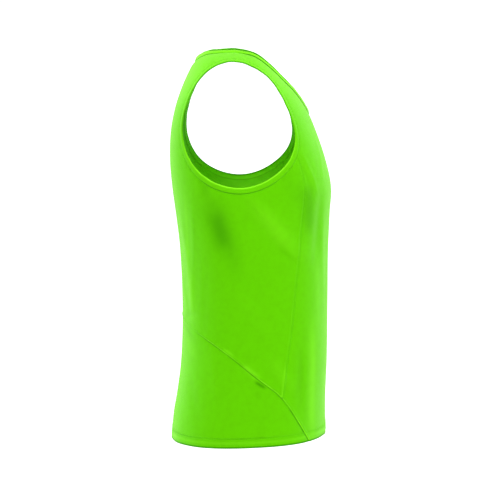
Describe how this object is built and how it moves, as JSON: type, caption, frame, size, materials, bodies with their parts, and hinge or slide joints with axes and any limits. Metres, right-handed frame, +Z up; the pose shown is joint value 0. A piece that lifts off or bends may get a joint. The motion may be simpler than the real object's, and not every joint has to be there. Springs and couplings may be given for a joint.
{
  "type": "sports tank top",
  "caption": "Sleeveless sports top in thin jersey, worn form left hollow, with banded neck and armholes, slanted hip seams and a turned-up hem.",
  "frame": {"origin": "midway between the two shoulder straps, level with the highest point of the neckline, where the top hangs from the wearer's shoulders", "axes": "+X to the wearer's front, +Y to the wearer's left, +Z up; the hem is the lowest edge"},
  "size_m": [0.2913, 0.3724, 0.7023],
  "materials": {
    "lime_jersey": "matte knitted polyester",
    "lime_band_jersey": "matte knitted polyester, folded double"
  },
  "bodies": {
    "root": {"front_panel": "lime_jersey", "upper_back_panel": "lime_jersey", "lower_back_panel": "lime_jersey", "neck_band": "lime_band_jersey", "right_armhole_band": "lime_band_jersey", "left_armhole_band": "lime_band_jersey"}
  },
  "joints": []
}
